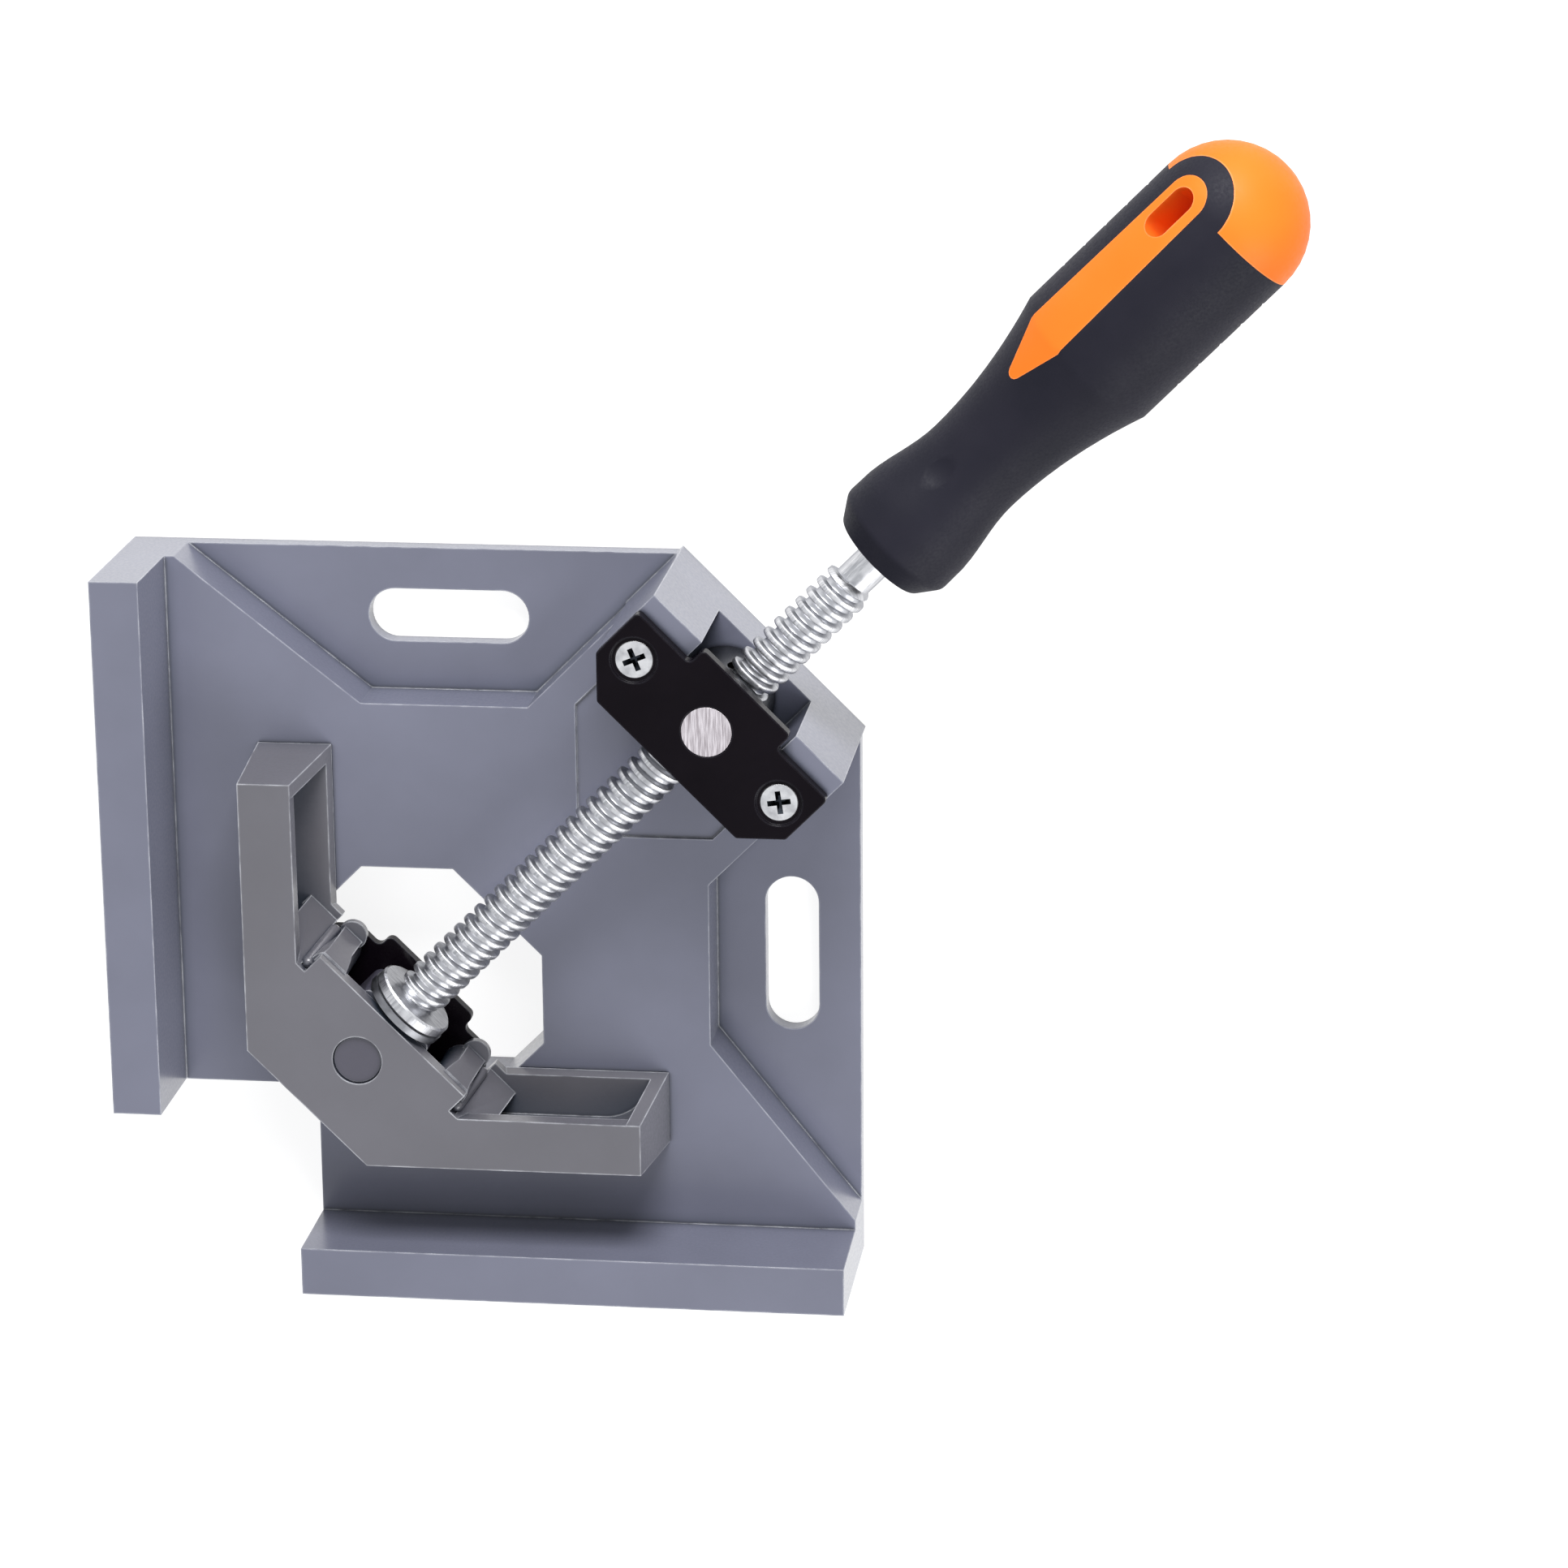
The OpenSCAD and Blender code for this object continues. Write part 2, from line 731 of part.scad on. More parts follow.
// Outline of the wall that runs behind both jaw faces
wall_outline = let (inner = jaw_face + jaw_wall, cut = jaw_cut_u * diag + jaw_cut_wall * diag - inner)
  both_sides([
    [inner, cut],
    [inner, jaw_end - arm_end_t],
    [jaw_face, jaw_end - arm_end_t],
    [jaw_face, jaw_face + jaw_cut]
  ]);

front_outline = both_sides([
    [jaw_face, jaw_face + jaw_cut],
    [jaw_face, jaw_end - arm_end_t],
    [jaw_face + arm_front_w, jaw_end - arm_end_t],
    at(notch_u, jaw_edge_w / 2) + [-notch_w, notch_w],
    at(notch_u, jaw_edge_w / 2),
    at(jaw_plate_u, jaw_edge_w / 2)
  ]);

// One arm with its leaning end and tapered back, as a solid
module arm_body() {
  intersection() {
    rotate([90, 0, 0]) translate([0, 0, -jaw_end - arm_lean]) linear_extrude(jaw_l)
      polygon([
          [jaw_face, jaw_z0], [jaw_face + arm_back_w, jaw_z0],
          [jaw_face + arm_front_w, jaw_z1], [jaw_face, jaw_z1]
        ]);
    rotate([90, 0, 90]) translate([0, 0, jaw_face]) linear_extrude(arm_back_w)
      polygon([
          [jaw_end - arm_l, jaw_z0], [jaw_end + arm_lean, jaw_z0], [jaw_end, jaw_z1], [jaw_end - arm_l, jaw_z1]
        ]);
  }
}

// How far an arm end leans out at a height
function lean_at(z) = arm_lean * (jaw_z1 - z) / jaw_h;

// A block inside an arm, from x on, whose end follows the leaning arm end
module leaning_block(x, z0, z1) {
  y1 = jaw_end - arm_end_t;
  rotate([90, 0, 90]) translate([0, 0, x]) linear_extrude(arm_back_w)
    polygon([[y1 - pocket_l, z0], [y1 + lean_at(z0), z0], [y1 + lean_at(z1), z1], [y1 - pocket_l, z1]]);
}

// The pocket cored into one arm from its inner side, under the edge of the front plate
module arm_pocket() {
  floor_z = jaw_z0 + jaw_lip_t;
  difference() {
    leaning_block(jaw_face + jaw_wall, floor_z, jaw_front_z0);
    translate([jaw_face + jaw_wall, jaw_end - arm_end_t + lean_at(floor_z) - pocket_round, jaw_z0])
      linear_extrude(jaw_h) difference() {
        translate([-cut_over, 0]) square(pocket_round + cut_over);
        translate([pocket_round, 0]) circle(pocket_round);
      }
  }
  leaning_block(jaw_face + arm_front_w, jaw_front_z0 - weld, jaw_z1 + cut_over);
}

// The part of an arm's back lip that would run into the middle of the jaw
module arm_root() {
  translate([0, 0, jaw_z0 - cut_over]) on_diagonal() translate([arm_root_u - jaw_l, 0, 0])
    cube([jaw_l, gusset_v1 - weld, jaw_front_z0 - jaw_z0 + cut_over]);
}

// A wall across the jaw from v0 to v1, from its side view
module cross_wall(v0, v1, side_view) {
  on_diagonal() rotate([90, 0, 0]) translate([0, 0, -v1]) linear_extrude(v1 - v0) polygon(side_view);
}

// The leaning wall between a screw boss and an arm, with a lip along its foot
module gusset() {
  lip_z = jaw_z0 + jaw_lip_t;
  cross_wall(gusset_v0, gusset_v1, [
      [notch_u - gusset_t, jaw_z1 - cut_over],
      [notch_u, jaw_z1 - cut_over],
      [gusset_u, lip_z],
      [gusset_u + gusset_lip, lip_z],
      [gusset_u + gusset_lip, jaw_z0],
      [gusset_u - gusset_foot_in, jaw_z0]
    ]);
}

// A screw boss with its milled flat, the lug beside it and the round foot
module jaw_boss() {
  top_z = jaw_front_z0 + cut_over;
  intersection() {
    union() {
      upright(at(boss_u, boss_v), boss_d, lug_z0, top_z);
      cross_wall(lug_v - lug_w / 2, lug_v + lug_w / 2, [
          [boss_u, lug_z0], [lug_foot_u + boss_d, lug_z0], [lug_foot_u + boss_d, top_z], [boss_u, top_z]
        ]);
    }
    cross_wall(0, jaw_edge_w, [
        [boss_u - boss_d, jaw_z0], [jaw_plate_u + lug_lean, jaw_z0], [jaw_plate_u, jaw_z1],
        [boss_u - boss_d, jaw_z1]
      ]);
  }
  upright(at(lug_foot_u, lug_v), lug_foot_d, lug_z0, lug_z0 + lug_foot_t);
}

module jaw_casting() {
  color("slategray")
  difference() {
    union() {
      slab(wall_outline, jaw_z0, jaw_z1);
      slab(front_outline, jaw_front_z0, jaw_z1);
      pair() {
        difference() {
          arm_body();
          arm_pocket();
          arm_root();
        }
        gusset();
        jaw_boss();
      }
    }
    upright(at(jaw_pivot_u, 0), pivot_d + 2 * run_fit, jaw_z0, jaw_z1 + cut_over);
    for (side = [-1, 1])
      upright(at(boss_u, side * boss_v), bolt_d + 2 * seat_gap, jaw_z0, bolt_hole_z1);
  }
}

jaw_cover_side = gusset_v0 - slide_gap;
jaw_cover_chamfer = 3.6;
jaw_cover_round = 1.4;
jaw_cover_back_u = jaw_plate_u + jaw_cover_chamfer;
jaw_cover_tab_l = 3.4;
jaw_cover_nose_w = 27;
jaw_cover_nose_u = jaw_pivot_u - 6.8;
jaw_cover_cheek_u = jaw_pivot_u + 2.7;

jaw_cover_outline = across([
    [jaw_cover_back_u + jaw_cover_tab_l, cover_tab_w / 2],
    [jaw_cover_back_u, cover_tab_w / 2],
    [jaw_cover_back_u, jaw_cover_side - jaw_cover_chamfer],
    [jaw_plate_u, jaw_cover_side],
    [jaw_cover_cheek_u, jaw_cover_side],
    [jaw_cover_nose_u, jaw_cover_nose_w / 2]
  ]);

module jaw_cover_plate() {
  color([0.07, 0.07, 0.08])
  difference() {
    on_diagonal() slab(rounded(jaw_cover_outline, jaw_cover_round), jaw_z0, jaw_cover_z1);
    upright(at(jaw_pivot_u, 0), pivot_d + 2 * run_fit, jaw_z0 - cut_over, jaw_cover_z1 + cut_over);
    for (side = [-1, 1])
      jaw_bolt(side, 2 * seat_gap);
  }
}

// A jaw cover screw, driven from below
module jaw_bolt(side, grow) {
  place = at(boss_u, side * boss_v);
  translate([place.x, place.y, jaw_z0]) rotate([180, 0, 0]) bolt(0, grow);
}

module jaw_cover_screw_left() {
  color("gainsboro") jaw_bolt(1, 0);
}

module jaw_cover_screw_right() {
  color("gainsboro") jaw_bolt(-1, 0);
}

base_casting();
nut_cover_plate();
nut_cover_screw_left();
nut_cover_screw_right();
swivel_nut();
lead_screw();
thrust_washer();
retaining_ring();
handle_core();
handle_grip();
jaw_swivel_block();
jaw_casting();
jaw_cover_plate();
jaw_cover_screw_left();
jaw_cover_screw_right();
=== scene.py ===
"""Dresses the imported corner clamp: soft edges, thread, screw heads, materials, light and camera."""

import math

import bmesh
import bpy
from mathutils import Euler, Matrix, Vector


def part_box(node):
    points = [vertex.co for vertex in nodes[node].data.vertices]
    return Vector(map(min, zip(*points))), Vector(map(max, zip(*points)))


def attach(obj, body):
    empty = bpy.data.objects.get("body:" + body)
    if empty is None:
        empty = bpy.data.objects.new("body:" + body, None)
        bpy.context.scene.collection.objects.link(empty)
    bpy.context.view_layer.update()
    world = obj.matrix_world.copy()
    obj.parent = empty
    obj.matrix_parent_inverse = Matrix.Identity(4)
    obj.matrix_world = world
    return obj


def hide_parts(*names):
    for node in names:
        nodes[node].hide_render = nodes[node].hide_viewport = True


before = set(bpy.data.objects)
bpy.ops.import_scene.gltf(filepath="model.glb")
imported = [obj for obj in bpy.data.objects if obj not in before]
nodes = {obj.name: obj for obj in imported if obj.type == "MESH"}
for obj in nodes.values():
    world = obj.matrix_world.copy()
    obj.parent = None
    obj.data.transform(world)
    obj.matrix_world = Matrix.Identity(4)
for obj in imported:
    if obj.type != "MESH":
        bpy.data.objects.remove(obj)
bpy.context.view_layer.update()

MM = 0.001
DIAGONAL = Vector((1, 1, 0)).normalized()
ACROSS = Vector((-1, 1, 0)).normalized()
UP = Vector((0, 0, 1))


# Places taken from the frame

def middle(node):
    """The middle of a CAD node's box."""
    low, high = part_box(node)
    return (low + high) / 2


AXIS_Z = middle("lead_screw").z
# Local Z of this frame runs along the screw, towards the handle
SCREW_FRAME = Matrix((
    (ACROSS.x, UP.x, DIAGONAL.x, 0),
    (ACROSS.y, UP.y, DIAGONAL.y, 0),
    (ACROSS.z, UP.z, DIAGONAL.z, AXIS_Z),
    (0, 0, 0, 1),
))
SCREW_TURN = SCREW_FRAME.to_3x3().inverted().to_euler()


# Mesh helpers

ROUND_SIDES = 64
WELD_GAP = 0.002 * MM
JOIN_GAP = 0.001 * MM
# Angles between faces, in degrees
FLAT_ANGLE = 0.5
SHADE_ANGLE = 24
BEVEL_ANGLE = 25


def add_object(name, bm):
    """A new object from a bmesh, with outward normals."""
    bmesh.ops.recalc_face_normals(bm, faces=bm.faces)
    mesh = bpy.data.meshes.new(name)
    bm.to_mesh(mesh)
    bm.free()
    obj = bpy.data.objects.new(name, mesh)
    bpy.context.scene.collection.objects.link(obj)
    return obj


def smooth_by_angle(obj, degrees):
    """Smooth shading except over edges sharper than the angle."""
    mesh = obj.data
    mesh.shade_smooth()
    mesh.set_sharp_from_angle(angle=math.radians(degrees))


def lathe(bm, profile, sides=ROUND_SIDES):
    """A closed solid of revolution about local Z, from (height, radius) pairs."""
    rings = []
    for height, radius in profile:
        ring = []
        for i in range(sides):
            turn = 2 * math.pi * i / sides
            ring.append(bm.verts.new((radius * math.cos(turn), radius * math.sin(turn), height)))
        rings.append(ring)
    for low, high in zip(rings, rings[1:]):
        for i in range(sides):
            j = (i + 1) % sides
            bm.faces.new((low[i], low[j], high[j], high[i]))
    bm.faces.new(rings[0][::-1])
    bm.faces.new(rings[-1])


def smooth_nodes(degrees):
    """A node group that shades a mesh smooth, except over edges sharper than the angle."""
    group = bpy.data.node_groups.new("smooth_by_angle", "GeometryNodeTree")
    group.interface.new_socket("Geometry", in_out="INPUT", socket_type="NodeSocketGeometry")
    group.interface.new_socket("Geometry", in_out="OUTPUT", socket_type="NodeSocketGeometry")
    start = group.nodes.new("NodeGroupInput")
    end = group.nodes.new("NodeGroupOutput")
    angle = group.nodes.new("GeometryNodeInputMeshEdgeAngle")
    sharp = group.nodes.new("FunctionNodeCompare")
    sharp.data_type = "FLOAT"
    sharp.operation = "GREATER_THAN"
    sharp.inputs["B"].default_value = math.radians(degrees)
    shade = group.nodes.new("GeometryNodeSetMeshNormal")
    shade.mode = "SHARPNESS"
    shade.inputs["Remove Custom"].default_value = True
    group.links.new(angle.outputs["Unsigned Angle"], sharp.inputs["A"])
    group.links.new(sharp.outputs["Result"], shade.inputs["Edge Sharpness"])
    group.links.new(start.outputs["Geometry"], shade.inputs["Mesh"])
    group.links.new(shade.outputs["Mesh"], end.inputs["Geometry"])
    return group


def smooth(node, group):
    """Joins the facets of a CAD node and shades it with the node group."""
    obj = nodes[node]
    weld = obj.modifiers.new("weld", "WELD")
    weld.merge_threshold = WELD_GAP
    shade = obj.modifiers.new("shade", "NODES")
    shade.node_group = group


def soften(node, group, width, segments):
    """Rounds the edges of a CAD node with modifiers, and leaves its own mesh as it is."""
    smooth(node, group)
    obj = nodes[node]
    flat = obj.modifiers.new("flat", "DECIMATE")
    flat.decimate_type = "DISSOLVE"
    flat.angle_limit = math.radians(FLAT_ANGLE)
    bevel = obj.modifiers.new("bevel", "BEVEL")
    bevel.width = width
    bevel.segments = segments
    bevel.limit_method = "ANGLE"
    bevel.angle_limit = math.radians(BEVEL_ANGLE)
    bevel.use_clamp_overlap = True
    bevel.harden_normals = True


# Lead screw with its rolled thread

PITCH = 3 * MM
THREAD_RUN_OUT = 1.6 * MM
THREAD_SIDES = 56
THREAD_SHADE_ANGLE = 40
# Share of the pitch against share of the depth, over one turn
THREAD_FORM = (
    (0.00, 0.0), (0.28, 0.0), (0.34, 0.08), (0.38, 0.42), (0.42, 0.80), (0.46, 0.95), (0.51, 1.0),
    (0.77, 1.0), (0.82, 0.95), (0.86, 0.80), (0.90, 0.42), (0.94, 0.08),
)
SCREW_RIM = 0.4 * MM
# How far the plain core lies under the root of the thread
CORE_UNDER = 0.05 * MM
# Radii that differ by less than this count as one
SAME_R = 0.05 * MM
# Places along the screw are told apart to this many digits of a metre
PLACE_DIGITS = 5


def thread(bm, start, end, root, crest):
    """A right-hand thread about local Z between two heights, closed at both ends."""
    recess = bm.verts.layers.float.new("recess")
    turns = int((end - start) / PITCH) + 2
    steps = turns * THREAD_SIDES
    rows = []
    for step in range(-THREAD_SIDES, steps + 1):
        turn = 2 * math.pi * step / THREAD_SIDES
        row = []
        for along, rise in THREAD_FORM:
            height = start + PITCH * (step / THREAD_SIDES + along)
            height = min(max(height, start), end)
            fade = min(height - start, end - height) / THREAD_RUN_OUT
            radius = root + (crest - root) * rise * min(fade, 1)
            point = bm.verts.new((radius * math.cos(turn), radius * math.sin(turn), height))
            point[recess] = 1 - rise
            row.append(point)
        rows.append(row)
    last = len(THREAD_FORM) - 1
    for step in range(len(rows) - 1):
        here, ahead = rows[step], rows[step + 1]
        for i in range(last):
            bm.faces.new((here[i], ahead[i], ahead[i + 1], here[i + 1]))
        if step + 1 + THREAD_SIDES < len(rows):
            up, up_ahead = rows[step + THREAD_SIDES], rows[step + 1 + THREAD_SIDES]
            bm.faces.new((here[last], ahead[last], up_ahead[0], up[0]))
    bmesh.ops.remove_doubles(bm, verts=bm.verts, dist=JOIN_GAP)
    bmesh.ops.dissolve_degenerate(bm, edges=bm.edges, dist=JOIN_GAP)
    bmesh.ops.holes_fill(bm, edges=[edge for edge in bm.edges if edge.is_boundary], sides=0)


def turned_radii(node):
    """The outside radius of a turned CAD node at each place along the screw."""
    to_screw = SCREW_FRAME.inverted()
    radii = {}
    for vertex in nodes[node].data.vertices:
        local = to_screw @ vertex.co
        place = round(local.z, PLACE_DIGITS)
        radii[place] = max(radii.get(place, 0), math.hypot(local.x, local.y))
    return radii


def make_lead_screw():
    """The screw in one piece: journal, thrust flange, thread and shank."""
    radii = turned_radii("lead_screw")
    places = sorted(radii)
    tip, end = places[0], places[-1]
    journal_r, shank_r = radii[tip], radii[end]
    flange_r = max(radii.values())
    flange = [place for place in places if radii[place] > flange_r - SAME_R]
    flange_low, flange_high = flange[0], flange[-1]
    thread_r = max(radii[place] for place in places if place > flange_high + PITCH)
    thread_end = max(place for place in places if abs(radii[place] - thread_r) < SAME_R)
    core_r = shank_r - CORE_UNDER

    bm = bmesh.new()
    thread(bm, flange_high, thread_end, shank_r, thread_r)
    lathe(bm, [
        (tip, journal_r - SCREW_RIM), (tip + SCREW_RIM, journal_r), (flange_low, journal_r),
        (flange_low, flange_r - SCREW_RIM), (flange_low + SCREW_RIM, flange_r),
        (flange_high - SCREW_RIM, flange_r), (flange_high, flange_r - SCREW_RIM),
        (flange_high, core_r), (thread_end, core_r),
        (thread_end, shank_r), (end, shank_r),
    ])
    bm.transform(SCREW_FRAME)
    screw = add_object("lead_screw_thread", bm)
    smooth_by_angle(screw, THREAD_SHADE_ANGLE)
    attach(screw, "screw")
    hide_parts("lead_screw")
    return screw


# Cross-head screws

HEAD_RIM = 0.25 * MM
HEAD_EDGE = 0.15 * MM
HEAD_LAND = 0.05 * MM
HEAD_SHADE_ANGLE = 30
STEM_R = 2 * MM
STEM_CHAMFER = 0.5 * MM
CROSS_REACH = 2.35 * MM
CROSS_HALF = 0.55 * MM
CROSS_DEPTH = 1.5 * MM
CROSS_OVER = 0.3 * MM
# Scale of the cross outline just above the head and at its foot
CROSS_MOUTH = 1.1
CROSS_FOOT = 0.45
# Turn of each cross, in degrees
CROSS_TURN = {
    "nut_cover_screw_left": 22,
    "nut_cover_screw_right": 8,
    "jaw_cover_screw_left": 30,
    "jaw_cover_screw_right": 55,
}


def cross_cutter(name, turn):
    """A tapered cross that points down from a little above the head."""
    outline = []
    for quarter in range(4):
        spin = Matrix.Rotation(math.radians(90 * quarter), 2)
        for corner in ((CROSS_HALF, CROSS_HALF), (CROSS_REACH, CROSS_HALF), (CROSS_REACH, -CROSS_HALF)):
            outline.append(spin @ Vector(corner))
    outline.sort(key=lambda point: math.atan2(point.y, point.x))
    bm = bmesh.new()
    rings = []
    for height, share in ((CROSS_OVER, CROSS_MOUTH), (-CROSS_DEPTH, CROSS_FOOT)):
        rings.append([bm.verts.new((point.x * share, point.y * share, height)) for point in outline])
    upper, lower = rings
    count = len(outline)
    for i in range(count):
        j = (i + 1) % count
        bm.faces.new((upper[i], upper[j], lower[j], lower[i]))
    bm.faces.new(upper)
    bm.faces.new(lower[::-1])
    bm.transform(Matrix.Rotation(math.radians(turn), 4, "Z"))
    return add_object(name, bm)


def mark_recess(mesh):
    """Marks the faces of the cross, so that the material can paint shade into them."""
    recess = mesh.attributes.new("recess", "FLOAT", "FACE")
    for face in mesh.polygons:
        inside = math.hypot(face.center.x, face.center.y) < CROSS_MOUTH * CROSS_REACH
        deep = -CROSS_DEPTH - HEAD_RIM < face.center.z < -HEAD_LAND
        recess.data[face.index].value = 1 if inside and deep else 0


def make_cross_head(node, body, upward):
    """A countersunk screw with a cross recess in place of a plain CAD screw."""
    low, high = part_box(node)
    centre = (low + high) / 2
    head_r = (high.x - low.x) / 2
    length = high.z - low.z
    cone_h = head_r - STEM_R
    bm = bmesh.new()
    lathe(bm, [
        (-length, STEM_R - STEM_CHAMFER), (-length + STEM_CHAMFER, STEM_R), (-cone_h - HEAD_RIM, STEM_R),
        (-HEAD_RIM, head_r - HEAD_LAND), (-HEAD_EDGE, head_r), (0, head_r - HEAD_EDGE),
    ])
    cutter = cross_cutter(node + "_cutter", CROSS_TURN[node])
    screw = add_object(node + "_head", bm)
    cut = screw.modifiers.new("cut", "BOOLEAN")
    cut.object = cutter
    cut.solver = "EXACT"
    evaluated = screw.evaluated_get(bpy.context.evaluated_depsgraph_get())
    mesh = bpy.data.meshes.new_from_object(evaluated)
    screw.modifiers.clear()
    screw.data = mesh
    bpy.data.objects.remove(cutter)
    mark_recess(mesh)
    flip = Matrix.Identity(4) if upward else Matrix.Rotation(math.pi, 4, "X")
    top = Vector((centre.x, centre.y, high.z if upward else low.z))
    mesh.transform(Matrix.Translation(top) @ flip)
    smooth_by_angle(screw, HEAD_SHADE_ANGLE)
    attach(screw, body)
    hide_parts(node)
    return screw


# Round webs of the jaw

WEB_R = 1.35 * MM
WEB_OUT = 3.75 * MM
# Each end of a web: along the diagonal from the boss, and up from the top or the bottom of the jaw
WEB_TOP = (-1.9 * MM, -1.5 * MM)
WEB_FOOT = (3.0 * MM, 3.9 * MM)
# Steps of the rounded ends, in degrees
WEB_ARC = (8, 25, 42, 58, 74, 90)
WEB_SIDES = 32
WEB_SHADE_ANGLE = 40


def make_jaw_web(name, screw):
    """The leaning round web between a screw lug of the jaw and the gusset beside it."""
    boss = middle(screw)
    low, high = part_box("jaw_casting")
    side = math.copysign(WEB_OUT, boss.dot(ACROSS))
    place = Vector((boss.x, boss.y, 0)) + ACROSS * side
    top = place + DIAGONAL * WEB_TOP[0] + UP * (high.z + WEB_TOP[1])
    foot = place + DIAGONAL * WEB_FOOT[0] + UP * (low.z + WEB_FOOT[1])
    length = (top - foot).length
    arc = [math.radians(degrees) for degrees in WEB_ARC]
    lower = [(WEB_R * (1 - math.cos(angle)), WEB_R * math.sin(angle)) for angle in arc]
    upper = [(length - height, radius) for height, radius in reversed(lower)]
    bm = bmesh.new()
    lathe(bm, lower + upper, WEB_SIDES)
    bm.transform(Matrix.Translation(foot) @ (top - foot).to_track_quat("Z", "Y").to_matrix().to_4x4())
    web = add_object(name, bm)
    smooth_by_angle(web, WEB_SHADE_ANGLE)
    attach(web, "jaw")
    return web


# Materials

NOISE_LOW = 0.3
NOISE_HIGH = 0.7
# Cosines of the turn at which an edge starts to show, and shows in full
EDGE_START = 0.985
EDGE_FULL = 0.80
STEEL_TINT = (0.45, 0.46, 0.48, 1)


def srgb(r, g, b):
    """A colour written as 0 to 255 sRGB values, made linear."""
    def linear(c):
        c /= 255
        return c / 12.92 if c <= 0.04045 else ((c + 0.055) / 1.055) ** 2.4
    return (linear(r), linear(g), linear(b), 1)


class Paint:
    """A procedural material round one Principled shader."""

    def __init__(self, name):
        self.material = bpy.data.materials.new(name)
        self.material.use_nodes = True
        self.tree = self.material.node_tree
        self.shader = self.tree.nodes["Principled BSDF"]
        self.coords = self.node("ShaderNodeTexCoord").outputs["Object"]

    def node(self, kind, **settings):
        """A new node with its settings."""
        made = self.tree.nodes.new(kind)
        for key, value in settings.items():
            setattr(made, key, value)
        return made

    def link(self, source, target):
        """Joins two sockets."""
        self.tree.links.new(source, target)

    def set(self, **values):
        """Sets constants on the shader, with _ for each space in a socket's name."""
        for key, value in values.items():
            self.shader.inputs[key.replace("_", " ")].default_value = value

    def stretched(self, scale, turn):
        """Object coordinates, turned and scaled."""
        mapping = self.node("ShaderNodeMapping")
        mapping.inputs["Scale"].default_value = scale
        mapping.inputs["Rotation"].default_value = turn
        self.link(self.coords, mapping.inputs["Vector"])
        return mapping.outputs["Vector"]

    def noise(self, scale, detail=3, vector=None):
        """A noise of so many waves to the metre."""
        made = self.node("ShaderNodeTexNoise")
        made.inputs["Scale"].default_value = scale
        made.inputs["Detail"].default_value = detail
        self.link(vector or self.coords, made.inputs["Vector"])
        return made.outputs["Fac"]

    def ramp(self, source, stops):
        """Colours over a value, from (value, colour) pairs."""
        made = self.node("ShaderNodeValToRGB")
        band = made.color_ramp
        while len(band.elements) < len(stops):
            band.elements.new(0.5)
        for element, (place, colour) in zip(band.elements, stops):
            element.position = place
            element.color = colour
        self.link(source, made.inputs["Fac"])
        return made.outputs["Color"]

    def mottle(self, scale, detail, dark, light):
        """Soft clouds between two colours."""
        return self.ramp(self.noise(scale, detail), ((NOISE_LOW, dark), (NOISE_HIGH, light)))

    def map_range(self, source, start, end, low=0, high=1):
        """Maps start to end onto low to high, and holds beyond them."""
        made = self.node("ShaderNodeMapRange")
        made.inputs["From Min"].default_value = start
        made.inputs["From Max"].default_value = end
        made.inputs["To Min"].default_value = low
        made.inputs["To Max"].default_value = high
        self.link(source, made.inputs["Value"])
        return made.outputs["Result"]

    def spread(self, noise, low, high):
        """Spreads a noise over a range."""
        return self.map_range(noise, NOISE_LOW, NOISE_HIGH, low, high)

    def edge_mask(self, radius):
        """1 along sharp edges and 0 on open faces."""
        bevel = self.node("ShaderNodeBevel", samples=6)
        bevel.inputs["Radius"].default_value = radius
        normal = self.node("ShaderNodeNewGeometry").outputs["Normal"]
        dot = self.node("ShaderNodeVectorMath", operation="DOT_PRODUCT")
        self.link(bevel.outputs["Normal"], dot.inputs[0])
        self.link(normal, dot.inputs[1])
        return self.map_range(dot.outputs["Value"], EDGE_START, EDGE_FULL)

    def crevice(self, distance):
        """1 on open faces, less in corners and deep pockets; the casting paint uses it to paint shade.
        """
        made = self.node("ShaderNodeAmbientOcclusion", samples=8)
        made.inputs["Distance"].default_value = distance
        return made.outputs["AO"]

    def height(self):
        """The height over the bench."""
        split = self.node("ShaderNodeSeparateXYZ")
        self.link(self.coords, split.inputs["Vector"])
        return split.outputs["Z"]

    def recess(self):
        """1 at the root of a thread and in a cross recess, 0 elsewhere."""
        return self.node("ShaderNodeAttribute", attribute_name="recess").outputs["Fac"]

    def times(self, a, b):
        """The product of two values."""
        made = self.node("ShaderNodeMath", operation="MULTIPLY")
        self.link(a, made.inputs[0])
        self.link(b, made.inputs[1])
        return made.outputs["Value"]

    def mix(self, factor, a, b):
        """Mixes two colours, given as links or plain values."""
        made = self.node("ShaderNodeMix", data_type="RGBA")
        self.link(factor, made.inputs["Factor"])
        colours = [socket for socket in made.inputs if socket.type == "RGBA"]
        for socket, value in zip(colours, (a, b)):
            if isinstance(value, tuple):
                socket.default_value = value
            else:
                self.link(value, socket)
        return next(socket for socket in made.outputs if socket.type == "RGBA")

    def colour(self, source):
        """Gives the shader its base colour."""
        self.link(source, self.shader.inputs["Base Color"])

    def roughness(self, noise, low, high):
        """Gives the shader a roughness that varies with a noise."""
        self.link(self.spread(noise, low, high), self.shader.inputs["Roughness"])

    def bump(self, height, strength, distance):
        """Gives the shader a fine relief."""
        made = self.node("ShaderNodeBump")
        made.inputs["Strength"].default_value = strength
        made.inputs["Distance"].default_value = distance
        self.link(height, made.inputs["Height"])
        self.link(made.outputs["Normal"], self.shader.inputs["Normal"])


